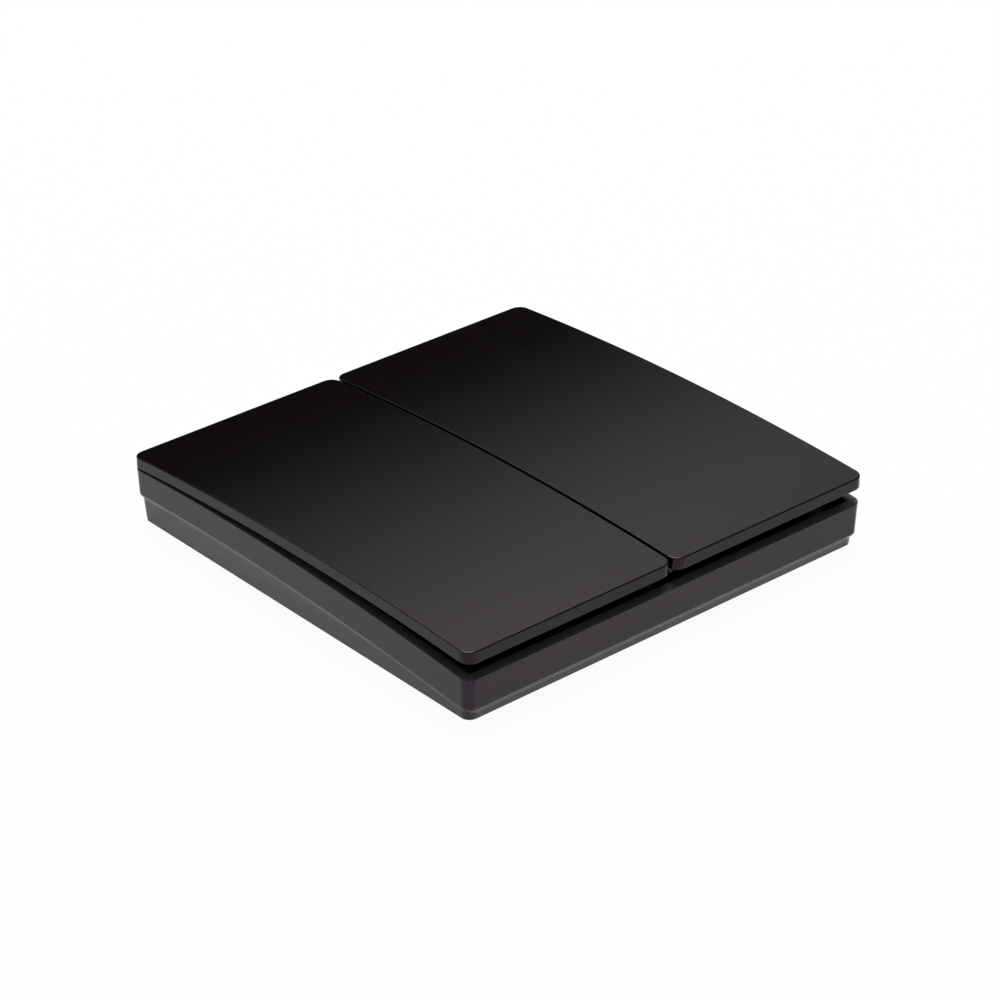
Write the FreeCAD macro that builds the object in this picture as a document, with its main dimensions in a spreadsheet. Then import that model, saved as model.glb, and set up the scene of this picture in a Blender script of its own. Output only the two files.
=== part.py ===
import FreeCAD, Part

# Self-powered remote wall switch with two rocking keys, for a square 86 mm plan.
#
# Frame of the model: +Z comes out of the wall, +Y points to the hinged end of the keys,
# -Y to the end that is pressed, +X to the right. The origin is the middle of the back face.
#
# Every curved face is an arch: an arc seen from the side, straight from left to right.

import math
import os
import re

import Sketcher

# The driving dimensions, in millimetres and degrees.
SIZES = {
    # Front frame, whose outer wall leans in towards the wall of the room
    "case_side": 86.0,
    "case_corner": 2.0,
    "rim_height": 10.36,
    "rim_radius": 554.0,
    "rim_tilt": 1.285,
    "rim_width": 1.9,
    "wall_height": 5.1,
    "wall_draft": 2.5,
    "seam_tilt": 1.917,
    "recess_depth": 2.4,
    "deck_thickness": 1.2,
    # Back shell, with a flared rim under the wall and the lip that plugs into the frame
    "back_inset": 1.0,
    "back_draft": 5.5,
    "back_corner": 1.6,
    "flare_inset": 0.05,
    "flare_rim": 0.15,
    "flare_height": 0.5,
    "flare_width": 0.3,
    "floor_thickness": 1.6,
    "lip_head_gap": 0.2,
    "lip_thickness": 1.2,
    "lip_clearance": 0.1,
    "snap_reach": 0.35,
    "snap_height": 0.5,
    "screw_spacing": 60.3,
    "screw_hole_radius": 2.2,
    "screw_slot_length": 7.0,
    "screw_seat_radius": 4.1,
    "screw_seat_depth": 0.6,
    "floor_rib_width": 1.2,
    "floor_rib_height": 0.6,
    # Keys
    "key_rise": 3.63,
    "key_radius": 588.0,
    "key_tilt": -0.555,
    "key_thickness": 2.12,
    "key_wedge": 0.1,
    "key_split": 0.8,
    "key_edge": 0.2,
    "cover_bond": 0.02,
    "carrier_side_gap": 0.5,
    "carrier_web": 1.0,
    "carrier_rib_height": 0.8,
    "carrier_rib_width": 1.0,
    # Hinge of a key: pins of the carrier in ears of the frame
    "hinge_inset": 4.5,
    "hinge_clearance": 0.05,
    "ear_side_gap": 0.25,
    "hinge_notch": 1.6,
    "hinge_lug": 2.0,
    # Hooks that hold a key down against its spring
    "hook_thickness": 1.2,
    "hook_width": 1.2,
    "hook_catch": 1.1,
    "hook_barb": 0.6,
    "hook_gap": 0.15,
    "hook_slot_gap": 0.3,
    "hook_from_side": 2.1,
    # Return spring under each key
    "spring_strip": 0.25,
    "spring_heel": 0.4,
    "spring_seat_rise": 0.3,
    "spring_end_gap": 0.02,
    "spigot_height": 0.5,
    "spigot_gap": 0.1,
    # Generator under each key: housing
    "generator_wall": 1.2,
    "window_gap": 0.6,
    # Generator: coil and core
    "bobbin_wall": 0.5,
    "bobbin_clearance": 0.05,
    "bobbin_flange": 0.7,
    "winding_margin": 0.2,
    "coil_pin_side": 0.5,
    "coil_pin_gap": 0.1,
    # Generator: rocker with magnet, poles and leaf spring
    "axle_clearance": 0.05,
    "leaf_thickness": 0.4,
    "pusher_gap": 0.15,
    "pusher_height": 0.55,
    # Circuit board and what is soldered to it
    "board_corner": 1.0,
    "board_side_gap": 7.0,
    # Screws
    "screw_pilot_gap": 0.02,
    # Parts on the board
    "antenna_width": 0.8,
}

# Places and lengths in plan behind the keys. They are laid out for a side of PLAN_SIDE and follow it.
PLAN_SIDE = 86.0
PLAN = {
    "snap_length": 9.0,
    "snap_place": 20.0,
    "middle_ear_width": 4.4,
    "hook_place": 25.0,
    "spring_place": 28.0,
    "spring_foot": 6.0,
    "spring_width": 4.6,
    "spring_tip": 2.4,
    "spring_seat_length": 6.4,
    "spring_seat_width": 5.0,
    "spigot_radius": 1.0,
    "generator_front": -13.0,
    "generator_back": 17.0,
    "generator_width": 20.0,
    "generator_ear_length": 4.0,
    "generator_ear_width": 5.0,
    "generator_ear_place": 2.0,
    "core_width": 7.0,
    "core_tip": 10.0,
    "core_head_width": 13.0,
    "coil_front": -9.4,
    "coil_length": 14.4,
    "bobbin_width": 15.0,
    "coil_pin_spacing": 10.0,
    "coil_pin_reach": 18.0,
    "axle_place": 13.5,
    "axle_radius": 0.6,
    "rocker_width": 17.0,
    "rocker_front": 12.0,
    "rocker_back": 15.2,
    "magnet_width": 9.0,
    "magnet_length": 1.4,
    "pole_length": 3.8,
    "leaf_width": 8.0,
    "leaf_tip": -20.5,
    "pusher_place": -19.0,
    "pusher_radius": 1.5,
    "board_front": -38.6,
    "board_back": -16.0,
    "board_notch_width": 11.0,
    "board_notch_end": -35.6,
    "board_screw_inset": 3.0,
    "board_screw_y": -25.0,
    "screw_radius": 0.8,
    "screw_head_radius": 1.6,
    "boss_radius": 2.0,
    "radio_chip_side": 5.0,
    "power_chip_length": 5.0,
    "power_chip_width": 4.0,
    "crystal_length": 3.2,
    "crystal_width": 2.5,
    "capacitor_length": 4.6,
    "capacitor_width": 3.2,
    "capacitor_pitch": 4.2,
    "antenna_inset": 6.0,
    "antenna_foot": 3.6,
    "chip_place": 12.0,
    "chip_row": 4.2,
}

# Heights behind the deck. They are laid out for a room of DECK_ROOM over the floor and follow it.
DECK_ROOM = 5.16
HEIGHTS = {
    "generator_floor": 0.8,
    "generator_ear_thickness": 1.2,
    "core_thickness": 1.0,
    "bobbin_height": 4.2,
    "winding_corner": 1.2,
    "magnet_height": 1.55,
    "pole_thickness": 0.8,
}

# Levels behind the deck, over the floor of the back shell, that follow the same room.
LEVELS = {
    "generator_bottom": 0.3,
    "generator_wall_top": 5.3,
    "generator_end_top": 4.8,
    "generator_ear_bottom": 3.0,
    "core_height": 3.7,
    "rocker_bottom": 2.25,
    "rocker_top": 6.3,
    "magnet_bottom": 3.05,
}

# Heights of the board and its parts, laid out for FRONT_ROOM under the low end of the deck.
FRONT_ROOM = 2.945
BOARD_HEIGHTS = {
    "board_thickness": 1.0,
    "radio_chip_height": 0.9,
    "power_chip_height": 1.2,
    "crystal_height": 0.8,
    "capacitor_height": 1.3,
    "antenna_strip": 0.6,
    "screw_head_height": 0.6,
    "screw_length": 2.7,
    "board_lift": 0.9,
}

# Sizes of the hinge, laid out for HINGE_ROOM between the deck and the cover.
HINGE_ROOM = 2.816
HINGE = {
    "hinge_pin_radius": 0.7,
    "ear_radius": 1.35,
    "ear_head_gap": 0.2,
    "hinge_lug_wall": 0.25,
}


class Arch:
    """An arc in the YZ plane, given by its height at mid length, its tilt there and its radius."""

    def __init__(self, height, tilt, radius):
        self.radius = radius
        self.middle_y = f"({radius}*sin({tilt}))"
        self.middle_z = f"({height} - {radius}*cos({tilt}))"

    def at(self, y):
        """Height of the arch at a place along Y."""
        return f"({self.middle_z} + sqrt({self.radius}^2 - (({y}) - {self.middle_y})^2))"


# Places that several pieces share
HALF = "(case_side/2)"
RECESS = "(case_side/2 - rim_width)"
RIM_PEAK = "(rim_height + rim_radius*(1 - cos(rim_tilt)))"
RIM_BEND = ("rim_tilt", "rim_radius")
RIM = Arch("rim_height", *RIM_BEND)
SEAM = Arch("(rim_height - wall_height)", "seam_tilt", "rim_radius")
FLARE = Arch("(rim_height - wall_height - flare_rim - flare_height)", "seam_tilt", "rim_radius")
DECK_TOP = Arch("(rim_height - recess_depth)", *RIM_BEND)
DECK_BOTTOM = Arch("(rim_height - recess_depth - deck_thickness)", *RIM_BEND)
LIP_TOP = Arch("(rim_height - recess_depth - deck_thickness - lip_head_gap)", *RIM_BEND)
KEY_TOP = Arch("key_height", "key_tilt", "key_radius")
UNDER_BEND = ("(key_tilt + key_wedge)", "key_radius")
KEY_BOTTOM = Arch("(key_height - key_thickness)", *UNDER_BEND)
CARRIER_TOP = Arch("(key_height - key_thickness - cover_bond)", *UNDER_BEND)
CARRIER_UNDERSIDE = Arch("(key_height - key_thickness - cover_bond - carrier_web)", *UNDER_BEND)
CARRIER_BOTTOM = Arch(
    "(key_height - key_thickness - cover_bond - carrier_web - carrier_rib_height)", *UNDER_BEND
)
HINGE_Y = "(case_side/2 - hinge_inset)"
HINGE_Z = f"({KEY_BOTTOM.at(HINGE_Y)} - ear_head_gap - ear_radius)"
COVER_X = "((case_side/2 + key_split/2)/2)"
CARRIER_INNER = "(key_split/2 + carrier_side_gap)"
CARRIER_OUTER = f"({RECESS} - carrier_side_gap)"
KEY_X = f"(({CARRIER_INNER} + {CARRIER_OUTER})/2)"
CARRIER_HALF = f"(({CARRIER_OUTER} - {CARRIER_INNER})/2)"
HOOK_X = f"({CARRIER_HALF} - hook_from_side)"
SPRING_LOW = f"({DECK_TOP.at('-spring_place')} + spring_seat_rise)"
SPRING_HIGH = f"({CARRIER_UNDERSIDE.at('-spring_place')} - spring_seat_rise)"
BOARD_TOP = "(board_bottom + board_thickness)"
EAR_TOP = "(generator_ear_bottom + generator_ear_thickness)"
EAR_SCREW_X = "(generator_width/2 + generator_ear_length/2)"
CORE_NECK = "(coil_front - bobbin_flange - coil_pin_gap)"
SIDES = (("left", -1), ("right", 1))

# Ends of cuts that run out of the material
RUN_OUT = "lip_thickness"
BEYOND = "(2*case_side)"
THROUGH = (f"-{HALF} - {RUN_OUT}", f"{HALF} + {RUN_OUT}")
PAST_RIM = f"{RIM_PEAK} + {RUN_OUT}"
BELOW = f"-{RUN_OUT}"
PAST_KEYS = "(key_height + key_rise)"

# The spreadsheet, in which the sizes laid out for a room or a side follow it
CELLS = {name: str(value) for name, value in SIZES.items()}
CELLS["key_height"] = "=rim_height + key_rise"
CELLS["plan_fit"] = f"=case_side/{PLAN_SIDE}"
CELLS.update((name, f"={value}*plan_fit") for name, value in PLAN.items())
CELLS["board_width"] = "=case_side - 2*board_side_gap"
CELLS["board_screw_x"] = "=board_width/2 - board_screw_inset"
CELLS["deck_fit"] = f"=(rim_height - recess_depth - deck_thickness - floor_thickness)/{DECK_ROOM}"
CELLS.update((name, f"={value}*deck_fit") for name, value in HEIGHTS.items())
CELLS.update((name, f"=floor_thickness + {value}*deck_fit") for name, value in LEVELS.items())
CELLS["board_fit"] = f"=({DECK_BOTTOM.at('board_front')} - floor_thickness)/{FRONT_ROOM}"
CELLS.update((name, f"={value}*board_fit") for name, value in BOARD_HEIGHTS.items())
CELLS["board_bottom"] = "=floor_thickness + board_lift"
CELLS["hinge_fit"] = f"=({KEY_BOTTOM.at(HINGE_Y)} - {DECK_TOP.at(HINGE_Y)})/{HINGE_ROOM}"
CELLS.update((name, f"={value}*hinge_fit") for name, value in HINGE.items())
CELLS["leaf_slope"] = (
    f"=({CARRIER_UNDERSIDE.at('pusher_place')} - pusher_height - pusher_gap - leaf_thickness - rocker_top)"
    "/(rocker_front - pusher_place + pusher_radius)"
)

doc = FreeCAD.newDocument("WallSwitch")
sheet = doc.addObject("Spreadsheet::Sheet", "Sizes")
for row, (alias, content) in enumerate(CELLS.items(), start=1):
    sheet.set(f"A{row}", content)
    sheet.setAlias(f"A{row}", alias)
doc.recompute()

V = FreeCAD.Vector
Z_AXIS = V(0, 0, 1)
Constraint = Sketcher.Constraint

parts = []


def formula(text):
    """The expression with each size's name led by the sheet's name."""
    return re.sub(
        r"[a-z_]+", lambda m: "Sizes." + m.group() if m.group() in CELLS else m.group(), str(text)
    )


def number(text):
    """The present value of an expression of sizes."""
    return float(sheet.evalExpression(formula(text)))


def bind(thing, name, text):
    """Tie a property of an object to an expression of sizes."""
    thing.setExpression(name, formula(text))


def keep(thing):
    """Note a finished sub-part, whose label names its file."""
    parts.append(thing)
    return thing


# Sketches
def sketch_on(body, name, plane, offset="0"):
    """An empty sketch on a plane of the body, moved along the plane's normal."""
    base = next(item for item in body.Origin.OriginFeatures if item.Role == plane)
    sketch = body.newObject("Sketcher::SketchObject", name)
    sketch.AttachmentSupport = [(base, "")]
    sketch.MapMode = "FlatFace"
    bind(sketch, ".AttachmentOffset.Base.z", offset)
    return sketch


def fix(sketch, kind, elements, text):
    """Add a dimension to the sketch and tie it to an expression."""
    index = sketch.addConstraint(Constraint(kind, *elements, number(text)))
    name = f"size{index}"
    sketch.renameConstraint(index, name)
    bind(sketch, f"Constraints.{name}", text)


def fix_point(sketch, element, point, place):
    """Tie a point of the sketch to two expressions."""
    fix(sketch, "DistanceX", (-1, 1, element, point), place[0])
    fix(sketch, "DistanceY", (-1, 1, element, point), place[1])


def draw_polygon(sketch, places):
    """A closed outline of straight lines through the given places."""
    points = [V(number(a), number(b), 0) for a, b in places]
    first = sketch.GeometryCount
    for start, end in zip(points, points[1:] + points[:1]):
        sketch.addGeometry(Part.LineSegment(start, end), False)
    count = len(points)
    for i in range(count):
        sketch.addConstraint(Constraint("Coincident", first + i, 2, first + (i + 1) % count, 1))
    for i, place in enumerate(places):
        fix_point(sketch, first + i, 1, place)


def draw_rectangle(sketch, left, right, low, high):
    draw_polygon(sketch, [(left, low), (right, low), (right, high), (left, high)])


def draw_rounded(sketch, left, right, low, high, radius):
    """A rectangle with four equal round corners."""
    a, b, c, d, r = (number(text) for text in (left, right, low, high, radius))
    quarter = math.pi / 2
    corners = [
        (b - r, c + r, -quarter), (b - r, d - r, 0.0), (a + r, d - r, quarter), (a + r, c + r, math.pi)
    ]
    lines = [
        (V(a + r, c, 0), V(b - r, c, 0)),
        (V(b, c + r, 0), V(b, d - r, 0)),
        (V(b - r, d, 0), V(a + r, d, 0)),
        (V(a, d - r, 0), V(a, c + r, 0)),
    ]
    first = sketch.GeometryCount
    for (start, end), (x, y, angle) in zip(lines, corners):
        sketch.addGeometry(Part.LineSegment(start, end), False)
        corner = Part.ArcOfCircle(Part.Circle(V(x, y, 0), Z_AXIS, r), angle, angle + quarter)
        sketch.addGeometry(corner, False)
    for i in range(8):
        sketch.addConstraint(Constraint("Tangent", first + i, 2, first + (i + 1) % 8, 1))
    for i in (0, 4):
        sketch.addConstraint(Constraint("Horizontal", first + i))
        sketch.addConstraint(Constraint("Vertical", first + i + 2))
    for i in (3, 5, 7):
        sketch.addConstraint(Constraint("Equal", first + 1, first + i))
    fix(sketch, "Radius", (first + 1,), radius)
    fix(sketch, "DistanceY", (-1, 1, first, 1), low)
    fix(sketch, "DistanceX", (-1, 1, first + 2, 1), right)
    fix(sketch, "DistanceY", (-1, 1, first + 4, 1), high)
    fix(sketch, "DistanceX", (-1, 1, first + 6, 1), left)


def draw_circle(sketch, across, up, radius):
    index = sketch.GeometryCount
    circle = Part.Circle(V(number(across), number(up), 0), Z_AXIS, number(radius))
    sketch.addGeometry(circle, False)
    fix_point(sketch, index, 3, (across, up))
    fix(sketch, "Radius", (index,), radius)


def draw_slot(sketch, across, up, radius, length):
    """A slot along the sketch's second axis, with round ends."""
    x, y, r, half = number(across), number(up), number(radius), number(f"({length})/2 - ({radius})")
    first = sketch.GeometryCount
    sketch.addGeometry(Part.LineSegment(V(x + r, y - half, 0), V(x + r, y + half, 0)), False)
    sketch.addGeometry(Part.ArcOfCircle(Part.Circle(V(x, y + half, 0), Z_AXIS, r), 0, math.pi), False)
    sketch.addGeometry(Part.LineSegment(V(x - r, y + half, 0), V(x - r, y - half, 0)), False)
    lower = Part.Circle(V(x, y - half, 0), Z_AXIS, r)
    sketch.addGeometry(Part.ArcOfCircle(lower, math.pi, math.tau), False)
    for i in range(4):
        sketch.addConstraint(Constraint("Tangent", first + i, 2, first + (i + 1) % 4, 1))
    sketch.addConstraint(Constraint("Vertical", first))
    fix(sketch, "Radius", (first + 1,), radius)
    fix_point(sketch, first + 1, 3, (across, f"({up}) + ({length})/2 - ({radius})"))
    fix(sketch, "DistanceY", (-1, 1, first + 3, 3), f"({up}) - ({length})/2 + ({radius})")


def draw_under_arch(sketch, arch, start, end, level):
    """The region between an arch and a level line, above or below it."""
    y0, y1, z = number(start), number(end), number(level)
    middle = V(number(arch.middle_y), number(arch.middle_z), 0)
    radius = number(arch.radius)
    right = V(y1, number(arch.at(end)), 0)
    left = V(y0, number(arch.at(start)), 0)
    circle = Part.Circle(middle, Z_AXIS, radius)
    arc = Part.ArcOfCircle(circle, circle.parameter(right), circle.parameter(left))
    sketch.addGeometry(arc, False)
    sketch.addGeometry(Part.LineSegment(right, V(y1, z, 0)), False)
    sketch.addGeometry(Part.LineSegment(V(y1, z, 0), V(y0, z, 0)), False)
    sketch.addGeometry(Part.LineSegment(V(y0, z, 0), left), False)
    sketch.addConstraint(Constraint("Coincident", 0, 1, 1, 1))
    sketch.addConstraint(Constraint("Coincident", 1, 2, 2, 1))
    sketch.addConstraint(Constraint("Coincident", 2, 2, 3, 1))
    sketch.addConstraint(Constraint("Coincident", 3, 2, 0, 2))
    sketch.addConstraint(Constraint("Vertical", 1))
    sketch.addConstraint(Constraint("Vertical", 3))
    fix_point(sketch, 0, 3, (arch.middle_y, arch.middle_z))
    fix(sketch, "Radius", (0,), arch.radius)
    fix_point(sketch, 2, 1, (end, level))
    fix_point(sketch, 2, 2, (start, level))


# Features
def extrude(body, kind, sketch, length, both_ways=False, backwards=False, taper="0"):
    feature = body.newObject(kind, sketch.Name + "_" + kind.split("::")[1])
    feature.Profile = sketch
    feature.SideType = "Symmetric" if both_ways else "One side"
    feature.Reversed = backwards
    bind(feature, "Length", length)
    bind(feature, "TaperAngle", taper)
    return feature


def pad(body, sketch, length, **options):
    return extrude(body, "PartDesign::Pad", sketch, length, **options)


def pocket(body, sketch, length, **options):
    return extrude(body, "PartDesign::Pocket", sketch, length, **options)


def new_body(name, x="0"):
    """A body whose own middle stands at the given place across the switch."""
    body = doc.addObject("PartDesign::Body", name)
    body.Label = name
    bind(body, ".Placement.Base.x", x)
    return body


def add_block(body, name, left, right, front, back, low, high):
    sketch = sketch_on(body, name, "XY_Plane", low)
    draw_rectangle(sketch, left, right, front, back)
    return pad(body, sketch, f"({high}) - ({low})")


def cut_block(body, name, left, right, front, back, low, high):
    sketch = sketch_on(body, name, "XY_Plane", high)
    draw_rectangle(sketch, left, right, front, back)
    return pocket(body, sketch, f"({high}) - ({low})")


def add_post(body, name, x, y, radius, low, high):
    sketch = sketch_on(body, name, "XY_Plane", low)
    draw_circle(sketch, x, y, radius)
    return pad(body, sketch, f"({high}) - ({low})")


def cut_hole(body, name, x, y, radius, low, high):
    sketch = sketch_on(body, name, "XY_Plane", high)
    draw_circle(sketch, x, y, radius)
    return pocket(body, sketch, f"({high}) - ({low})")


def cut_arch(body, name, arch, start, end, level, width, middle="0"):
    """Cut away what lies between an arch and a level, over a width across the switch."""
    sketch = sketch_on(body, name, "YZ_Plane", middle)
    draw_under_arch(sketch, arch, start, end, level)
    return pocket(body, sketch, width, both_ways=True)


# Screw places, as (x, y) in the frame of the switch
BOARD_SCREWS = [(f"({side}*board_screw_x)", "board_screw_y") for side in (-1, 1)]
GENERATOR_SCREWS = [
    (f"({side}*{KEY_X} + {end}*{EAR_SCREW_X})", "generator_ear_place")
    for side in (-1, 1)
    for end in (-1, 1)
]


def make_front_frame():
    """Moulded frame: leaning outer wall with a rim, and a sunk deck with windows for the generators."""
    body = new_body("front_frame")
    outline = sketch_on(body, "frame_outline", "XY_Plane", RIM_PEAK)
    draw_rounded(outline, f"-{HALF}", HALF, f"-{HALF}", HALF, "case_corner")
    pad(body, outline, RIM_PEAK, backwards=True, taper="-wall_draft")
    cut_arch(body, "frame_rim", RIM, *THROUGH, PAST_RIM, BEYOND)
    cut_arch(body, "frame_seam", SEAM, *THROUGH, BELOW, BEYOND)
    cut_arch(body, "frame_recess", DECK_TOP, f"-{RECESS}", RECESS, PAST_RIM, f"2*{RECESS}")
    cut_arch(body, "frame_hollow", DECK_BOTTOM, f"-{RECESS}", RECESS, BELOW, f"2*{RECESS}")
    add_frame_bosses(body)
    add_frame_ears(body)
    cut_frame_windows(body)
    cut_frame_snaps(body)
    return keep(body)


def add_frame_bosses(body):
    """Bosses behind the deck for the screws, and flat seats in front of it for the return springs."""
    depth = "(deck_thickness/2)"
    for i, (x, y) in enumerate(BOARD_SCREWS):
        top = f"({DECK_BOTTOM.at(y)} + {depth})"
        add_post(body, f"board_boss{i}", x, y, "boss_radius", BOARD_TOP, top)
    for i, (x, y) in enumerate(GENERATOR_SCREWS):
        top = f"({DECK_BOTTOM.at(y)} + {depth})"
        add_post(body, f"generator_boss{i}", x, y, "boss_radius", EAR_TOP, top)
    for name, side in SIDES:
        x = f"({side}*{KEY_X})"
        low = f"({DECK_TOP.at('-spring_place')} - {depth})"
        add_block(
            body, f"{name}_spring_seat", f"{x} - spring_seat_width/2", f"{x} + spring_seat_width/2",
            "-spring_place - spring_seat_length/2", "-spring_place + spring_seat_length/2", low, SPRING_LOW,
        )
        high = f"({SPRING_LOW} + spigot_height)"
        add_post(body, f"{name}_spigot", x, "-spring_place", "spigot_radius", low, high)
    pilot = "(screw_radius + screw_pilot_gap)"
    reach = "(screw_length + screw_pilot_gap)"
    for i, (x, y) in enumerate(BOARD_SCREWS):
        cut_hole(body, f"board_pilot{i}", x, y, pilot, BOARD_TOP, f"board_bottom + {reach}")
    for i, (x, y) in enumerate(GENERATOR_SCREWS):
        cut_hole(body, f"generator_pilot{i}", x, y, pilot, EAR_TOP, f"generator_ear_bottom + {reach}")


def add_frame_ears(body):
    """Three ears at the hinged end, with the bores that the pins of the keys turn in."""
    inner = f"({KEY_X} + {CARRIER_HALF} - hinge_notch + ear_side_gap)"
    for name, left, right in (
        ("middle_ear", "-middle_ear_width/2", "middle_ear_width/2"),
        ("left_ear", f"-{RECESS} - lip_clearance", f"-{inner}"),
        ("right_ear", inner, f"{RECESS} + lip_clearance"),
    ):
        sketch = sketch_on(body, name, "YZ_Plane", left)
        draw_circle(sketch, HINGE_Y, HINGE_Z, "ear_radius")
        pad(body, sketch, f"({right}) - ({left})")
        foot = sketch_on(body, name + "_foot", "YZ_Plane", left)
        low = f"({DECK_TOP.at(HINGE_Y)} - deck_thickness/2)"
        draw_rectangle(foot, f"{HINGE_Y} - ear_radius", f"{HINGE_Y} + ear_radius", low, HINGE_Z)
        pad(body, foot, f"({right}) - ({left})")
    bores = sketch_on(body, "hinge_bores", "YZ_Plane")
    draw_circle(bores, HINGE_Y, HINGE_Z, "hinge_pin_radius + hinge_clearance")
    pocket(body, bores, f"2*{RECESS} - lip_clearance", both_ways=True)


def cut_frame_windows(body):
    """Windows for the two generators, and slots for the hooks of the keys."""
    for name, side in SIDES:
        x = f"({side}*{KEY_X})"
        half = "(generator_width/2 + window_gap)"
        front = "generator_front - window_gap"
        back = "generator_back + window_gap"
        cut_block(
            body, f"{name}_window", f"{x} - {half}", f"{x} + {half}", front, back,
            f"{DECK_BOTTOM.at(front)} - {RUN_OUT}", f"{DECK_TOP.at(back)} + {RUN_OUT}",
        )
        for end, sign in (("outer", side), ("inner", -side)):
            middle = f"({x} + {sign}*{HOOK_X})"
            half_hook = "(hook_thickness/2 + hook_slot_gap)"
            cut_block(
                body, f"{name}_{end}_slot", f"{middle} - {half_hook}", f"{middle} + {half_hook}",
                "-hook_place - hook_slot_gap", "-hook_place + hook_width + hook_slot_gap",
                f"{DECK_BOTTOM.at('-hook_place - hook_width')} - {RUN_OUT}",
                f"{DECK_TOP.at('-hook_place')} + {RUN_OUT}",
            )


def snap_low(y):
    """Lower edge of the snap ridge at a place along the lip."""
    return f"(({SEAM.at(y)} + {LIP_TOP.at(y)} - snap_height)/2)"


def cut_frame_snaps(body):
    """Grooves inside the wall that the snap ridges of the back shell click into."""
    gap = "lip_clearance/2"
    reach = f"({RECESS} - lip_clearance + snap_reach + {gap})"
    for i, (side, place) in enumerate([(s, p) for s in (-1, 1) for p in (-1, 1)]):
        y = f"({place}*snap_place)"
        left = f"-{reach}" if side < 0 else f"{RECESS} - lip_clearance"
        right = f"-{RECESS} + lip_clearance" if side < 0 else reach
        cut_block(
            body, f"snap_groove{i}", left, right, f"{y} - snap_length/2 - {gap}",
            f"{y} + snap_length/2 + {gap}", f"{snap_low(y)} - {gap}", f"{snap_low(y)} + snap_height + {gap}",
        )


def break_face_edges(body, feature, name, lowest, sizes):
    """Chamfer the edges around the highest or lowest face of a feature, by one or two sizes."""
    doc.recompute()
    faces = sorted(feature.Shape.Faces, key=lambda face: face.CenterOfMass.z, reverse=not lowest)
    names = [
        f"Edge{i + 1}" for i, edge in enumerate(feature.Shape.Edges)
        if any(edge.isSame(other) for other in faces[0].Edges)
    ]
    edge_break = body.newObject("PartDesign::Chamfer", name)
    edge_break.Base = (feature, names)
    if len(sizes) > 1:
        edge_break.ChamferType = "Two distances"
    for item, size in zip(("Size", "Size2"), sizes):
        bind(edge_break, item, size)
    body.Tip = edge_break


def make_back_shell():
    """Moulded back tray: flared rim, tapered band, floor with two slotted holes, and a lip with snaps."""
    body = new_body("back_shell")
    edge = f"({HALF} - flare_inset)"
    rim = sketch_on(body, "shell_rim", "XY_Plane", RIM_PEAK)
    draw_rounded(rim, f"-{edge}", edge, f"-{edge}", edge, "case_corner")
    pad(body, rim, RIM_PEAK, backwards=True, taper="-wall_draft")
    last = cut_arch(body, "shell_flare", FLARE, *THROUGH, BELOW, BEYOND)
    break_face_edges(body, last, "shell_flare_slope", True, ("flare_height", "flare_width"))
    base = f"({HALF} - back_inset)"
    outline = sketch_on(body, "shell_outline", "XY_Plane")
    draw_rounded(outline, f"-{base}", base, f"-{base}", base, "back_corner")
    pad(body, outline, f"{SEAM.at(HALF)} + flare_height", taper="back_draft")
    cut_arch(body, "shell_seam", SEAM, *THROUGH, PAST_RIM, BEYOND)
    lip = f"({RECESS} - lip_clearance)"
    lip_sketch = sketch_on(body, "shell_lip", "XY_Plane", "floor_thickness/2")
    draw_rectangle(lip_sketch, f"-{lip}", lip, f"-{lip}", lip)
    pad(body, lip_sketch, f"{RIM_PEAK} - floor_thickness/2")
    cut_arch(body, "shell_lip_top", LIP_TOP, *THROUGH, PAST_RIM, BEYOND)
    inner = f"({lip} - lip_thickness)"
    cut_block(body, "shell_hollow", f"-{inner}", inner, f"-{inner}", inner, "floor_thickness", PAST_RIM)
    add_shell_ribs(body, inner)
    cut_shell_screw_holes(body)
    add_shell_snaps(body, lip)
    return keep(body)


def add_shell_ribs(body, inner):
    """Low stiffening ribs on the floor, around the screw seats."""
    top = "floor_thickness + floor_rib_height"
    low = "floor_thickness/2"
    y = "(screw_spacing/2 - screw_seat_radius - 2*floor_rib_width)"
    for i, sign in enumerate((-1, 1)):
        x = f"({sign}*(screw_seat_radius + 2*floor_rib_width))"
        back = f"({inner} + lip_thickness/2)"
        add_block(
            body, f"long_rib{i}", f"{x} - floor_rib_width/2", f"{x} + floor_rib_width/2", y, back, low, top
        )
    x = "(screw_seat_radius + 2*floor_rib_width)"
    add_block(body, "cross_rib", f"-{x}", x, f"{y} - floor_rib_width", y, low, top)


def cut_shell_screw_holes(body):
    """Two slotted holes one above the other, each with a sunk seat for the head of a wall screw."""
    for name, sign in (("lower", -1), ("upper", 1)):
        y = f"({sign}*screw_spacing/2)"
        hole = sketch_on(body, f"{name}_screw_hole", "XY_Plane", "floor_thickness")
        draw_slot(hole, "0", y, "screw_hole_radius", "screw_slot_length")
        pocket(body, hole, "floor_thickness")
        seat = sketch_on(body, f"{name}_screw_seat", "XY_Plane", "floor_thickness")
        length = "screw_slot_length + 2*(screw_seat_radius - screw_hole_radius)"
        draw_slot(seat, "0", y, "screw_seat_radius", length)
        pocket(body, seat, "screw_seat_depth")


def add_shell_snaps(body, lip):
    """Four snap ridges outside the lip."""
    for i, (side, place) in enumerate([(s, p) for s in (-1, 1) for p in (-1, 1)]):
        y = f"({place}*snap_place)"
        outer = f"{side}*({lip} + snap_reach)"
        inner = f"{side}*({lip} - lip_thickness/2)"
        left, right = (outer, inner) if side < 0 else (inner, outer)
        add_block(
            body, f"snap_ridge{i}", left, right, f"{y} - snap_length/2", f"{y} + snap_length/2",
            snap_low(y), f"{snap_low(y)} + snap_height",
        )


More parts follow.
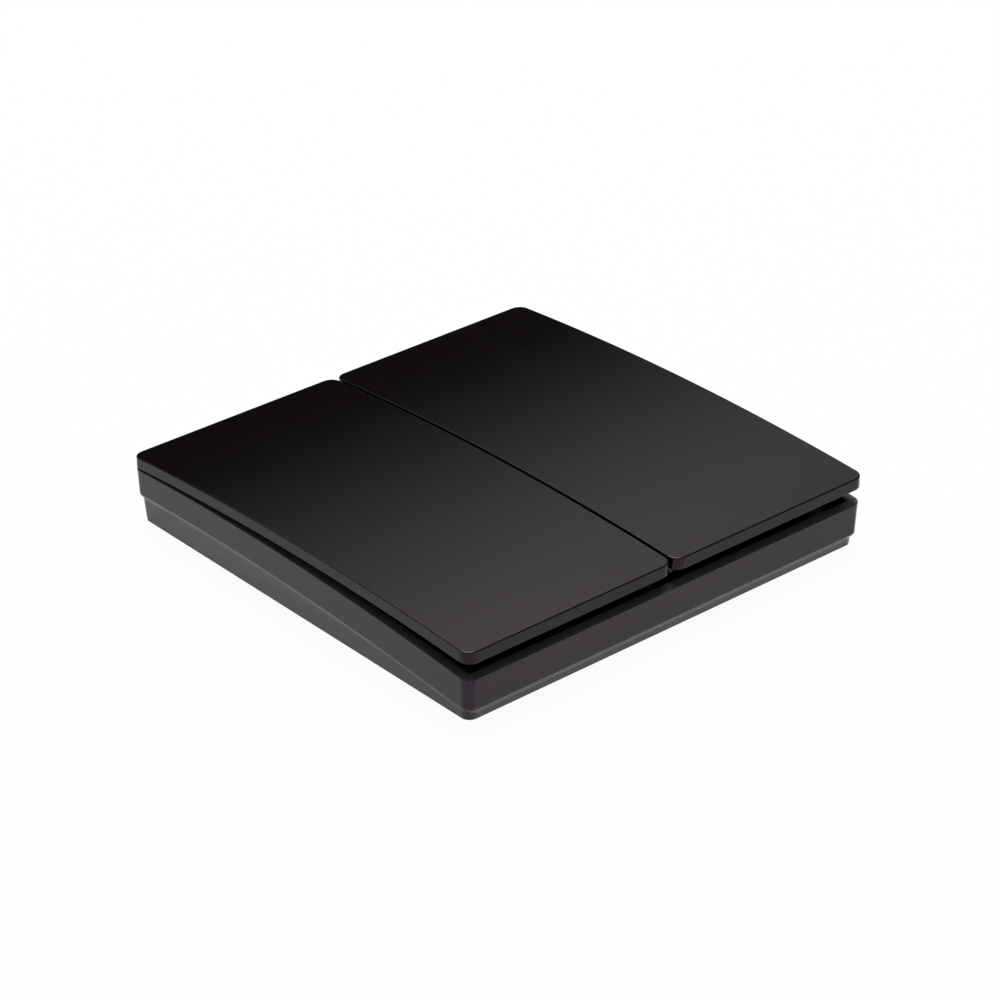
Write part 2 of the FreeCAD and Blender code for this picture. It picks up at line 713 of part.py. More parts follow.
def make_key_cover(name, side):
    """Arched cover plate of one key, with a fine break along the edge of its face."""
    body = new_body(f"{name}_key_cover", f"{side}*{COVER_X}")
    half = f"({HALF} - {COVER_X})"
    outline = sketch_on(body, f"{name}_cover_outline", "XY_Plane")
    draw_rounded(outline, f"-{half}", half, f"-{HALF}", HALF, "case_corner")
    pad(body, outline, PAST_KEYS)
    cut_arch(body, f"{name}_cover_face", KEY_TOP, *THROUGH, f"2*{PAST_KEYS}", BEYOND)
    last = cut_arch(body, f"{name}_cover_under", KEY_BOTTOM, *THROUGH, BELOW, BEYOND)
    break_face_edges(body, last, f"{name}_cover_edge", False, ("key_edge",))
    return keep(body)


def make_key_carrier(name, side):
    """Ribbed plate under the cover, with hinge pins, hooks, a pusher for the generator and a spring seat."""
    body = new_body(f"{name}_key_carrier", f"{side}*{KEY_X}")
    half = CARRIER_HALF
    end = f"({RECESS} - carrier_side_gap)"
    outline = sketch_on(body, f"{name}_carrier_outline", "XY_Plane")
    draw_rounded(outline, f"-{half}", half, f"-{end}", end, "case_corner/2")
    pad(body, outline, PAST_KEYS)
    cut_arch(body, f"{name}_carrier_top", CARRIER_TOP, *THROUGH, f"2*{PAST_KEYS}", BEYOND)
    cut_arch(body, f"{name}_carrier_low", CARRIER_BOTTOM, *THROUGH, BELOW, BEYOND)
    cut_carrier_pockets(body, name, half, end)
    add_carrier_hinge(body, name, half)
    add_carrier_hooks(body, name)
    under = f"({CARRIER_UNDERSIDE.at('-spring_place')} + carrier_web/2)"
    add_block(
        body, f"{name}_spring_cap", "-spring_seat_width/2", "spring_seat_width/2",
        "-spring_place - spring_seat_length/2", "-spring_place + spring_seat_length/2", SPRING_HIGH, under,
    )
    leaf_top = f"({leaf_low('pusher_place - pusher_radius')} + leaf_thickness)"
    under = f"({CARRIER_UNDERSIDE.at('pusher_place')} + carrier_web/2)"
    add_post(body, f"{name}_pusher", "0", "pusher_place", "pusher_radius", f"{leaf_top} + pusher_gap", under)
    return keep(body)


def cut_carrier_pockets(body, name, half, end):
    """Pockets between the ribs, open downwards, that leave a web of even thickness."""
    rib = "carrier_rib_width"
    clear = f"({HINGE_Y} - 2*hinge_lug)"
    cross = "(-spring_place - spring_seat_length/2 - carrier_rib_width)"
    bands = (
        ("front", f"-{end} + {rib}", f"{cross} - {rib}"),
        ("middle", cross, "generator_back + window_gap"),
        ("back", f"generator_back + window_gap + {rib}", clear),
    )
    for band, start, stop in bands:
        for part, sign in (("left", -1), ("right", 1)):
            middle = f"({sign}*{half}/2)"
            inner = "0" if band != "back" else f"{rib}/2"
            width = f"({half} - {rib} - {inner})"
            centre = f"({sign}*(({half} - {rib}) + ({inner}))/2)"
            cut_arch(
                body, f"{name}_{band}_{part}_pocket", CARRIER_UNDERSIDE, start, stop, BELOW, width, centre
            )


def add_carrier_hinge(body, name, half):
    """Lugs with pins at the hinged end, in notches that leave room for the ears of the frame."""
    room = "(ear_radius + ear_head_gap)"
    for part, sign in (("left", -1), ("right", 1)):
        edge = f"({sign}*{half})"
        wall = f"({sign}*({half} - hinge_notch))"
        inside = f"({sign}*({half} - hinge_notch - hinge_lug))"
        outside = f"({sign}*({half} + {RUN_OUT}))"
        left, right = (outside, wall) if sign < 0 else (wall, outside)
        cut_block(
            body, f"{name}_{part}_notch", left, right, f"{HINGE_Y} - {room}", HALF, BELOW, PAST_KEYS
        )
        left, right = (wall, inside) if sign < 0 else (inside, wall)
        lug = sketch_on(body, f"{name}_{part}_lug", "YZ_Plane", left)
        across = "(hinge_pin_radius + hinge_lug_wall)"
        draw_rectangle(
            lug, f"{HINGE_Y} - {across}", f"{HINGE_Y} + {across}",
            f"{HINGE_Z} - {across}", f"{CARRIER_UNDERSIDE.at(HINGE_Y)} + carrier_web/2",
        )
        pad(body, lug, f"({right}) - ({left})")
        tip = f"({sign}*({half} + carrier_side_gap - ear_side_gap))"
        left, right = (tip, inside) if sign < 0 else (inside, tip)
        pin = sketch_on(body, f"{name}_{part}_pin", "YZ_Plane", left)
        draw_circle(pin, HINGE_Y, HINGE_Z, "hinge_pin_radius")
        pad(body, pin, f"({right}) - ({left})")


def add_carrier_hooks(body, name):
    """Two hooks that reach through the deck and catch behind it when the key is up."""
    barb_y = "(-hook_place - hook_catch)"
    top = f"({DECK_BOTTOM.at(barb_y)} - hook_gap)"
    low = f"({top} - hook_barb)"
    for part, sign in (("left", -1), ("right", 1)):
        x = f"({sign}*{HOOK_X})"
        left = f"{x} - hook_thickness/2"
        right = f"{x} + hook_thickness/2"
        high = f"({CARRIER_UNDERSIDE.at('-hook_place')} + carrier_web/2)"
        back = "-hook_place + hook_width"
        add_block(body, f"{name}_{part}_shank", left, right, "-hook_place", back, low, high)
        add_block(body, f"{name}_{part}_barb", left, right, barb_y, back, low, top)


def make_return_spring(name, side):
    """Strip of spring steel bent back on itself: a foot on the deck, and an arm that lifts the key."""
    body = new_body(f"{name}_return_spring", f"{side}*{KEY_X}")
    low = f"({SPRING_LOW} + spring_end_gap)"
    high = f"({SPRING_HIGH} - spring_end_gap)"
    front = "(-spring_place - spring_foot/2)"
    heel = "(-spring_place + spring_foot/2 - spring_heel)"
    tip = "(-spring_place - spring_tip)"
    slope = f"(({high} - {low} - spring_heel)/({heel} + spring_heel - {tip}))"
    crook = f"({heel} + spring_heel - (2*spring_strip - spring_heel)/{slope})"
    strip = sketch_on(body, f"{name}_return_strip", "YZ_Plane")
    draw_polygon(strip, [
        (front, low), (heel, low), (f"{heel} + spring_heel", f"{low} + spring_heel"), (tip, high),
        (tip, f"{high} - spring_strip"), (crook, f"{low} + spring_strip"), (front, f"{low} + spring_strip"),
    ])
    pad(body, strip, "spring_width", both_ways=True)
    hole_top = f"({SPRING_LOW} + spigot_height)"
    hole_radius = "spigot_radius + spigot_gap"
    cut_hole(body, f"{name}_spigot_hole", "0", "-spring_place", hole_radius, SPRING_LOW, hole_top)
    return keep(body)


# Generator
def leaf_low(y):
    """Underside of the leaf spring, which slopes up towards the pressed end."""
    return f"(rocker_top + (rocker_front - ({y}))*leaf_slope)"


def make_generator_base(name, side):
    """Open tray that holds the coil, the core and the axle, with an ear for a screw on either side."""
    body = new_body(f"{name}_generator_base", f"{side}*{KEY_X}")
    half = "(generator_width/2)"
    inner = "(generator_width/2 - generator_wall)"
    floor = "(generator_bottom + generator_floor)"
    add_block(
        body, f"{name}_tray", f"-{half}", half, "generator_front", "generator_back",
        "generator_bottom", "generator_wall_top",
    )
    cut_block(
        body, f"{name}_tray_hollow", f"-{inner}", inner, "generator_front + generator_wall",
        f"generator_back + {RUN_OUT}", floor, f"generator_wall_top + {RUN_OUT}",
    )
    cut_block(
        body, f"{name}_tray_end", f"-{inner}", inner, f"generator_front - {RUN_OUT}",
        "generator_front + generator_wall", "generator_end_top", f"generator_wall_top + {RUN_OUT}",
    )
    for part, sign in (("left", -1), ("right", 1)):
        outer = f"({sign}*core_head_width/2)"
        within = f"({sign}*(core_width/2 + bobbin_wall))"
        left, right = (outer, within) if sign < 0 else (within, outer)
        add_block(
            body, f"{name}_{part}_core_seat", left, right, "generator_front", CORE_NECK,
            "generator_bottom", "core_height - core_thickness/2",
        )
        side_wall = f"({sign}*{inner})"
        far = f"({sign}*({half} + generator_ear_length))"
        left, right = (far, side_wall) if sign < 0 else (side_wall, far)
        add_block(
            body, f"{name}_{part}_ear", left, right, "generator_ear_place - generator_ear_width/2",
            "generator_ear_place + generator_ear_width/2", "generator_ear_bottom", EAR_TOP,
        )
        cut_hole(
            body, f"{name}_{part}_ear_hole", f"{sign}*{EAR_SCREW_X}", "generator_ear_place",
            "screw_radius + screw_pilot_gap", "generator_ear_bottom", EAR_TOP,
        )
        pin_x = f"({sign}*coil_pin_spacing/2)"
        half_way = "(coil_pin_side/2 + coil_pin_gap)"
        cut_block(
            body, f"{name}_{part}_pin_way", f"{pin_x} - {half_way}", f"{pin_x} + {half_way}",
            f"generator_front - {RUN_OUT}", f"{CORE_NECK} + {RUN_OUT}", f"{BOARD_TOP} - coil_pin_gap",
            f"{BOARD_TOP} + coil_pin_side + coil_pin_gap",
        )
    bores = sketch_on(body, f"{name}_axle_bores", "YZ_Plane")
    draw_circle(bores, "axle_place", "core_height", "axle_radius")
    pocket(body, bores, f"generator_width + {RUN_OUT}", both_ways=True)
    return keep(body)


def make_coil_bobbin(name, side):
    """Moulded spool: a flat tube for the core, with a flange at either end."""
    body = new_body(f"{name}_coil_bobbin", f"{side}*{KEY_X}")
    back = "(coil_front + coil_length)"
    half = "(core_width/2 + bobbin_clearance + bobbin_wall)"
    rise = "(core_thickness/2 + bobbin_clearance + bobbin_wall)"
    tube = sketch_on(body, f"{name}_tube", "XZ_Plane", "-coil_front")
    draw_rectangle(tube, f"-{half}", half, f"core_height - {rise}", f"core_height + {rise}")
    pad(body, tube, "coil_length", backwards=True)
    for part, start in (("front", "coil_front"), ("back", f"{back} + bobbin_flange")):
        flange = sketch_on(body, f"{name}_{part}_flange", "XZ_Plane", f"-({start})")
        draw_rectangle(
            flange, "-bobbin_width/2", "bobbin_width/2", "core_height - bobbin_height/2",
            "core_height + bobbin_height/2",
        )
        pad(body, flange, "bobbin_flange")
    way = sketch_on(body, f"{name}_core_way", "XZ_Plane", f"-coil_front + bobbin_flange + {RUN_OUT}")
    draw_rectangle(
        way, "-core_width/2 - bobbin_clearance", "core_width/2 + bobbin_clearance",
        "core_height - core_thickness/2 - bobbin_clearance",
        "core_height + core_thickness/2 + bobbin_clearance",
    )
    pocket(body, way, f"coil_length + 2*(bobbin_flange + {RUN_OUT})")
    return keep(body)


def make_coil_winding(name, side):
    """Copper winding around the tube of the bobbin, one solid with round corners."""
    body = new_body(f"{name}_coil_winding", f"{side}*{KEY_X}")
    half = "(bobbin_width/2 - winding_margin)"
    rise = "(bobbin_height/2 - winding_margin)"
    wound = sketch_on(body, f"{name}_wound", "XZ_Plane", "-coil_front")
    draw_rounded(
        wound, f"-{half}", half, f"core_height - {rise}", f"core_height + {rise}", "winding_corner"
    )
    pad(body, wound, "coil_length", backwards=True)
    inner = "(core_width/2 + bobbin_clearance + bobbin_wall)"
    inner_rise = "(core_thickness/2 + bobbin_clearance + bobbin_wall)"
    tube = sketch_on(body, f"{name}_wound_way", "XZ_Plane", f"-coil_front + {RUN_OUT}")
    draw_rectangle(tube, f"-{inner}", inner, f"core_height - {inner_rise}", f"core_height + {inner_rise}")
    pocket(body, tube, f"coil_length + 2*{RUN_OUT}")
    return keep(body)


def make_coil_core(name, side):
    """Flat T-shaped iron core through the coil, whose tip lies between the poles of the rocker."""
    body = new_body(f"{name}_coil_core", f"{side}*{KEY_X}")
    start = "(generator_front + generator_wall)"
    outline = sketch_on(body, f"{name}_core_outline", "XY_Plane", "core_height - core_thickness/2")
    width = "core_width/2"
    wide = "core_head_width/2"
    draw_polygon(outline, [
        (f"-{wide}", start), (wide, start), (wide, CORE_NECK), (width, CORE_NECK),
        (width, "core_tip"), (f"-{width}", "core_tip"), (f"-{width}", CORE_NECK), (f"-{wide}", CORE_NECK),
    ])
    pad(body, outline, "core_thickness")
    return keep(body)


def make_coil_pins(name, side):
    """Two straight tinned pins from the bobbin to the board."""
    pins = []
    for part, sign in (("left", -1), ("right", 1)):
        pin = doc.addObject("Part::Box", f"{name}_{part}_coil_pin")
        bind(pin, "Length", "coil_pin_side")
        bind(pin, "Width", "coil_front - bobbin_flange + coil_pin_reach")
        bind(pin, "Height", "coil_pin_side")
        bind(pin, ".Placement.Base.x", f"{side}*{KEY_X} + {sign}*coil_pin_spacing/2 - coil_pin_side/2")
        bind(pin, ".Placement.Base.y", "-coil_pin_reach")
        bind(pin, ".Placement.Base.z", BOARD_TOP)
        pins.append(pin)
    return group(f"{name}_coil_pins", pins)


def make_axle(name, side):
    """Steel pin across the generator, pressed into both walls of its base."""
    axle = doc.addObject("Part::Cylinder", f"{name}_rocker_axle")
    bind(axle, "Radius", "axle_radius")
    bind(axle, "Height", "generator_width")
    axle.Placement = FreeCAD.Placement(V(0, 0, 0), FreeCAD.Rotation(V(0, 1, 0), 90))
    bind(axle, ".Placement.Base.x", f"{side}*{KEY_X} - generator_width/2")
    bind(axle, ".Placement.Base.y", "axle_place")
    bind(axle, ".Placement.Base.z", "core_height")
    axle.Label = f"{name}_rocker_axle"
    return keep(axle)


def make_rocker(name, side):
    """Moulded block that turns on the axle and carries the magnet, the poles and the leaf spring."""
    body = new_body(f"{name}_rocker", f"{side}*{KEY_X}")
    block = sketch_on(body, f"{name}_rocker_side", "YZ_Plane")
    draw_rectangle(block, "rocker_front", "rocker_back", "rocker_bottom", "rocker_top")
    pad(body, block, "rocker_width", both_ways=True)
    bore = sketch_on(body, f"{name}_rocker_bore", "YZ_Plane")
    draw_circle(bore, "axle_place", "core_height", "axle_radius + axle_clearance")
    pocket(body, bore, f"rocker_width + {RUN_OUT}", both_ways=True)
    return keep(body)


def make_magnet_and_poles(name, side):
    """Bar magnet between two steel pole plates that reach over and under the tip of the core."""
    top = "(magnet_bottom + magnet_height)"
    for piece, length, low, high in (
        ("magnet", "magnet_length", "magnet_bottom", top),
        ("upper_pole", "pole_length", top, f"({top} + pole_thickness)"),
        ("lower_pole", "pole_length", "(magnet_bottom - pole_thickness)", "magnet_bottom"),
    ):
        body = new_body(f"{name}_{piece}", f"{side}*{KEY_X}")
        start = f"(rocker_front - {length})"
        add_block(
            body, f"{name}_{piece}_outline", "-magnet_width/2", "magnet_width/2", start, "rocker_front",
            low, high,
        )
        keep(body)


def make_leaf_spring(name, side):
    """Strip of spring steel from the top of the rocker to under the pusher of the key."""
    body = new_body(f"{name}_leaf_spring", f"{side}*{KEY_X}")
    strip = sketch_on(body, f"{name}_strip", "YZ_Plane")
    draw_polygon(strip, [
        ("rocker_back", "rocker_top"), ("rocker_back", "rocker_top + leaf_thickness"),
        ("rocker_front", "rocker_top + leaf_thickness"),
        ("leaf_tip", f"{leaf_low('leaf_tip')} + leaf_thickness"), ("leaf_tip", leaf_low("leaf_tip")),
        ("rocker_front", "rocker_top"),
    ])
    pad(body, strip, "leaf_width", both_ways=True)
    return keep(body)


# Circuit board
def make_circuit_board():
    """Board at the pressed end, notched around the lower wall screw."""
    body = new_body("circuit_board")
    outline = sketch_on(body, "board_outline", "XY_Plane", "board_bottom")
    draw_rounded(
        outline, "-board_width/2", "board_width/2", "board_front", "board_back", "board_corner"
    )
    pad(body, outline, "board_thickness")
    cut_block(
        body, "board_notch", "-board_notch_width/2", "board_notch_width/2", "board_notch_end",
        f"board_back + {RUN_OUT}", "board_bottom", BOARD_TOP,
    )
    radius = "screw_radius + screw_pilot_gap"
    for i, (x, y) in enumerate(BOARD_SCREWS):
        cut_hole(body, f"board_hole{i}", x, y, radius, "board_bottom", BOARD_TOP)
    return keep(body)


def block_on_board(name, x, y, length, width, height):
    """A rectangular component that lies on the board, given by its middle."""
    block = doc.addObject("Part::Box", name)
    bind(block, "Length", length)
    bind(block, "Width", width)
    bind(block, "Height", height)
    bind(block, ".Placement.Base.x", f"({x}) - {length}/2")
    bind(block, ".Placement.Base.y", f"({y}) - {width}/2")
    bind(block, ".Placement.Base.z", BOARD_TOP)
    block.Label = name
    return block


def group(name, members):
    """Identical pieces in one sub-part, each a solid of its own."""
    together = doc.addObject("Part::Compound", name)
    together.Links = members
    together.Label = name
    return keep(together)


CAPACITORS = (1, 2, 3)


def make_board_parts():
    """Chips, crystal and storage capacitors on the board."""
    row = "((board_front + board_back)/2 - chip_row)"
    crystal_x = "chip_place + radio_chip_side/2 + crystal_length"
    for name, x, length, width, height in (
        ("radio_chip", "chip_place", "radio_chip_side", "radio_chip_side", "radio_chip_height"),
        ("power_chip", "-chip_place", "power_chip_length", "power_chip_width", "power_chip_height"),
        ("crystal", crystal_x, "crystal_length", "crystal_width", "crystal_height"),
    ):
        keep(block_on_board(name, x, row, length, width, height))
    size = ("capacitor_width", "capacitor_length", "capacitor_height")
    start = "-chip_place - power_chip_length/2"
    capacitors = [
        block_on_board(f"capacitor{i}", f"{start} - {i}*capacitor_pitch", row, *size) for i in CAPACITORS
    ]
    group("storage_capacitors", capacitors)


def make_antenna():
    """Stamped strip along the free edge of the board, with a foot at one end."""
    body = new_body("antenna")
    outline = sketch_on(body, "antenna_outline", "XY_Plane", BOARD_TOP)
    left = "(-board_width/2 + antenna_inset)"
    right = "(board_width/2 - antenna_inset)"
    front = "(board_front + antenna_strip)"
    draw_polygon(outline, [
        (left, front), (right, front), (right, f"{front} + antenna_foot"),
        (f"{right} - antenna_width", f"{front} + antenna_foot"),
        (f"{right} - antenna_width", f"{front} + antenna_width"), (left, f"{front} + antenna_width"),
    ])
    pad(body, outline, "antenna_strip")
    return keep(body)


# Screws
def make_screw(name, x, y, seat):
    """Pan-head screw driven upwards: its head lies below the seat."""
    head = doc.addObject("Part::Cylinder", name + "_head")
    bind(head, "Radius", "screw_head_radius")
    bind(head, "Height", "screw_head_height")
    bind(head, ".Placement.Base.z", f"{seat} - screw_head_height")
    shank = doc.addObject("Part::Cylinder", name + "_shank")
    bind(shank, "Radius", "screw_radius")
    bind(shank, "Height", "screw_length + screw_head_height/2")
    bind(shank, ".Placement.Base.z", f"{seat} - screw_head_height/2")
    for cylinder in (head, shank):
        bind(cylinder, ".Placement.Base.x", x)
        bind(cylinder, ".Placement.Base.y", y)
    whole = doc.addObject("Part::Fuse", name)
    whole.Base = head
    whole.Tool = shank
    return whole


def make_screws():
    """Two screws for the board and four for the generators."""
    board = [make_screw(f"board_screw{i}", x, y, "board_bottom") for i, (x, y) in enumerate(BOARD_SCREWS)]
    group("board_screws", board)
    generator = [
        make_screw(f"generator_screw{i}", x, y, "generator_ear_bottom")
        for i, (x, y) in enumerate(GENERATOR_SCREWS)
    ]
    group("generator_screws", generator)


make_front_frame()
make_back_shell()
for name, side in SIDES:
    make_key_cover(name, side)
    make_key_carrier(name, side)
    make_return_spring(name, side)
    make_generator_base(name, side)
    make_coil_bobbin(name, side)
    make_coil_winding(name, side)
    make_coil_core(name, side)
    make_coil_pins(name, side)
    make_axle(name, side)
    make_rocker(name, side)
    make_magnet_and_poles(name, side)
    make_leaf_spring(name, side)
make_circuit_board()
make_board_parts()
make_antenna()
make_screws()
doc.recompute()

# Every object must have computed, and every sub-part must be sound, before anything is written
for thing in doc.Objects:
    if {"Invalid", "Error"} & set(thing.State):
        raise RuntimeError(f"{thing.Name} did not compute: {thing.State}")
for part in parts:
    if part.Shape.isNull() or not part.Shape.isValid() or not part.Shape.Solids:
        raise RuntimeError(f"{part.Label} has no sound shape")

os.makedirs("parts", exist_ok=True)
for part in parts:
    part.Shape.exportStep(f"parts/{part.Label}.step")
    box = part.Shape.optimalBoundingBox()
    print(
        f"{part.Label}: {len(part.Shape.Solids)} solid, {part.Shape.Volume:.1f} mm3, "
        f"x {box.XMin:.2f} {box.XMax:.2f}, y {box.YMin:.2f} {box.YMax:.2f}, z {box.ZMin:.2f} {box.ZMax:.2f}"
    )
print(f"hinge of the keys: x {number(KEY_X):.4f}, y {number(HINGE_Y):.4f}, z {number(HINGE_Z):.4f}")
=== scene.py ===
# Wireless remote wall switch with two rocking keys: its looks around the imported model, in metres.
#
# +Z comes out of the wall, +Y points to the hinged end of the keys and -Y to the end that is pressed.

import math

import bpy
from mathutils import Matrix, Vector


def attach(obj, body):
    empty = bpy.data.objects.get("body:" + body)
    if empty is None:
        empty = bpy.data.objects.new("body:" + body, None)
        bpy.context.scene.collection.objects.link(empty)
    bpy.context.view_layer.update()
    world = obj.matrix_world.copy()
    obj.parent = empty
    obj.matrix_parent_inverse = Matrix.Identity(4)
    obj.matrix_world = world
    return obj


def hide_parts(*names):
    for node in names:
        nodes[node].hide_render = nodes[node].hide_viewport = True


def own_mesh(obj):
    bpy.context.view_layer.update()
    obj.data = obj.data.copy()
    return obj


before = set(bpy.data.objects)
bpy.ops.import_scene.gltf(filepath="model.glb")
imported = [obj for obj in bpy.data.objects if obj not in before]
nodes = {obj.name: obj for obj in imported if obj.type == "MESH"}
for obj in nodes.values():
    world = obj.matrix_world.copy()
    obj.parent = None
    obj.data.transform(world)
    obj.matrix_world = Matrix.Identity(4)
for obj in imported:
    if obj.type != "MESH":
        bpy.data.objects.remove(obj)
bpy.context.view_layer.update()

# The viewpoint: a long lens that looks down on the switch, over the corner between its left side
# and the pressed end.
VIEW_AZIMUTH = math.radians(-40.99)
VIEW_ELEVATION = math.radians(29.29)
VIEW_DISTANCE = 0.6093
VIEW_RIGHT = 0.000675
VIEW_UP = 0.005016
LENS = 131.32
SENSOR_WIDTH = 36.0
NEAREST_SEEN = 0.01


def add_object(name, data):
    """A new object in the scene."""
    thing = bpy.data.objects.new(name, data)
    bpy.context.scene.collection.objects.link(thing)
    return thing


right = Vector((math.cos(VIEW_AZIMUTH), math.sin(VIEW_AZIMUTH), 0.0))
back = Vector((
    math.sin(VIEW_AZIMUTH) * math.cos(VIEW_ELEVATION),
    -math.cos(VIEW_AZIMUTH) * math.cos(VIEW_ELEVATION),
    math.sin(VIEW_ELEVATION),
))
up = back.cross(right)
turn = Matrix((right, up, back)).transposed().to_4x4()
camera = add_object("camera", bpy.data.cameras.new("camera"))
camera.data.lens = LENS
camera.data.sensor_width = SENSOR_WIDTH
camera.data.clip_start = NEAREST_SEEN
camera.matrix_world = Matrix.Translation(back * VIEW_DISTANCE + right * VIEW_RIGHT + up * VIEW_UP) @ turn
bpy.context.scene.camera = camera


# Key covers: two arched plates of black plastic, 2.1 mm thick, moulded with a satin face and bonded
# onto the carriers under them. Their edges are broken by a fifth of a millimetre all round.
class Mark:
    """One output of a recipe's nodes, on which sums add Math nodes."""

    def __init__(self, recipe, socket):
        self.recipe = recipe
        self.socket = socket

    def __add__(self, other):
        return self.recipe.maths("ADD", self, other)

    def __sub__(self, other):
        return self.recipe.maths("SUBTRACT", self, other)

    def __rsub__(self, other):
        return self.recipe.maths("SUBTRACT", other, self)

    def __mul__(self, other):
        return self.recipe.maths("MULTIPLY", self, other)

    __radd__ = __add__
    __rmul__ = __mul__


class Recipe:
    """The steps of a node tree."""

    def __init__(self, tree):
        self.tree = tree

    def node(self, kind, settings, inputs, output=0):
        """A new node, with its settings first and then the values or links of its sockets."""
        made = self.tree.nodes.new(kind)
        for name, value in settings.items():
            setattr(made, name, value)
        for name, value in inputs.items():
            if isinstance(value, Mark):
                self.tree.links.new(value.socket, made.inputs[name])
            else:
                made.inputs[name].default_value = value
        return Mark(self, made.outputs[output])

    def join(self, mark, node, socket):
        """Link a mark to a node that the tree already has."""
        self.tree.links.new(mark.socket, self.tree.nodes[node].inputs[socket])

    def maths(self, operation, *values):
        """A Math node on marks and numbers."""
        return self.node("ShaderNodeMath", {"operation": operation}, dict(enumerate(values)))

    def parts(self, vector):
        """The three components of a vector."""
        made = self.node("ShaderNodeSeparateXYZ", {}, {0: vector}, "X").socket.node
        return [Mark(self, made.outputs[axis]) for axis in "XYZ"]

    def passage(self, value, start, end, first=0.0, last=1.0):
        """A smooth change from the first to the last number, while a value goes from start to end."""
        inputs = {"Value": value, "From Min": start, "From Max": end, "To Min": first, "To Max": last}
        return self.node("ShaderNodeMapRange", {"interpolation_type": "SMOOTHSTEP"}, inputs)


class Finish(Recipe):
    """A material, made from its shader outwards."""

    def __init__(self, name, **constants):
        self.material = bpy.data.materials.new(name)
        self.material.use_nodes = True
        super().__init__(self.material.node_tree)
        self.shader = self.tree.nodes["Principled BSDF"]
        for socket, value in constants.items():
            self.shader.inputs[socket.replace("_", " ")].default_value = value
        self.place = self.node("ShaderNodeTexCoord", {}, {}, "Object")

    def feed(self, socket, mark):
        """Link a mark to a socket of the shader."""
        self.join(mark, self.shader.name, socket)

    def noise(self, size, detail=2.0, stretch=(1.0, 1.0, 1.0)):
        """Soft noise whose features are about as large as the given size."""
        place = self.node("ShaderNodeVectorMath", {"operation": "MULTIPLY"}, {0: self.place, 1: stretch})
        return self.node("ShaderNodeTexNoise", {}, {"Vector": place, "Scale": 1.0 / size, "Detail": detail})

    def blend(self, share, first, second):
        """A mix of two colours."""
        return self.node("ShaderNodeMixRGB", {}, {0: share, 1: (*first, 1.0), 2: (*second, 1.0)})

    def bump(self, height, depth):
        """Relief of the given depth, from a height between 0 and 1."""
        inputs = {"Height": height, "Strength": 1.0, "Distance": depth}
        self.feed("Normal", self.node("ShaderNodeBump", {}, inputs, "Normal"))


PLASTIC_IOR = 1.45
VIOLET_SHEEN = (1.0, 0.84, 1.0, 1.0)
CLOUD_SIZE = 0.012
CLOUD_DETAIL = 3.0
CLOUD_TONE = 0.15
CLOUD_ROUGHNESS = 0.04
GRAIN_DETAIL = 1.0


def plastic(name, shine):
    """A bare plastic, with the sheen that all the mouldings share."""
    return Finish(name, IOR=PLASTIC_IOR, Specular_IOR_Level=shine, Specular_Tint=VIOLET_SHEEN)


def moulded_plastic(name, colour, rough, grain_size, grain_depth, shine=0.5):
    """Moulded plastic with the fine grain of a spark-eroded mould, and faint clouds in its gloss."""
    finish = plastic(name, shine)
    cloud = finish.noise(CLOUD_SIZE, CLOUD_DETAIL)
    darker = tuple(channel * (1.0 - CLOUD_TONE) for channel in colour)
    lighter = tuple(channel * (1.0 + CLOUD_TONE) for channel in colour)
    finish.feed("Base Color", finish.blend(cloud, darker, lighter))
    finish.feed("Roughness", rough - CLOUD_ROUGHNESS / 2 + CLOUD_ROUGHNESS * cloud)
    finish.bump(finish.noise(grain_size, GRAIN_DETAIL), grain_depth)
    return finish.material


KEY_BLACK = (0.0018, 0.0006, 0.0018)
KEY_ROUGHNESS = 0.15
KEY_GRAIN = 0.00016
GRAIN_DEPTH = 0.000001
SIDE_SHINE = 0.33
key_plastic = moulded_plastic("key_plastic", KEY_BLACK, KEY_ROUGHNESS, KEY_GRAIN, GRAIN_DEPTH)
key_side = moulded_plastic("key_side", KEY_BLACK, KEY_ROUGHNESS, KEY_GRAIN, GRAIN_DEPTH, SIDE_SHINE)

KEY_RADIUS = 0.588
HALF_SIDE = 0.043
CORNER = 0.002
KEY_HEIGHT = 0.01399
KEY_TILT = math.radians(-0.555)
KEY_WEDGE = math.radians(0.1)
KEY_THICKNESS = 0.00212
HALF_SPLIT = 0.000225
EDGE = 0.0002
CORNER_STEPS = 10
EDGE_STEPS = 6
SIDE_STEPS = 48
SIDE_UPRIGHT = 0.2


def arch(height, tilt):
    """The arch of a plate's face, as height and slope at a place along Y."""
    middle_y = KEY_RADIUS * math.sin(tilt)
    middle_z = height - KEY_RADIUS * math.cos(tilt)

    def at(y):
        rise = math.sqrt(KEY_RADIUS ** 2 - (y - middle_y) ** 2)
        return middle_z + rise, -(y - middle_y) / rise

    return at


def plan_stations(left, right, front, back, corner):
    """Pairs of points of a round-cornered plan from front to back, each with its outward direction."""
    stations = []
    for i in range(CORNER_STEPS + 1):
        angle = math.pi / 2 * i / CORNER_STEPS
        across = corner * (1 - math.sin(angle))
        along = corner * (1 - math.cos(angle))
        stations.append((left + across, right - across, front + along, math.sin(angle), -math.cos(angle)))
    for i in range(1, SIDE_STEPS):
        y = front + corner + (back - front - 2 * corner) * i / SIDE_STEPS
        stations.append((left, right, y, 1.0, 0.0))
    for i in range(CORNER_STEPS + 1):
        angle = math.pi / 2 * i / CORNER_STEPS
        across = corner * (1 - math.cos(angle))
        along = corner * (1 - math.sin(angle))
        stations.append((left + across, right - across, back - along, math.cos(angle), math.sin(angle)))
    return stations


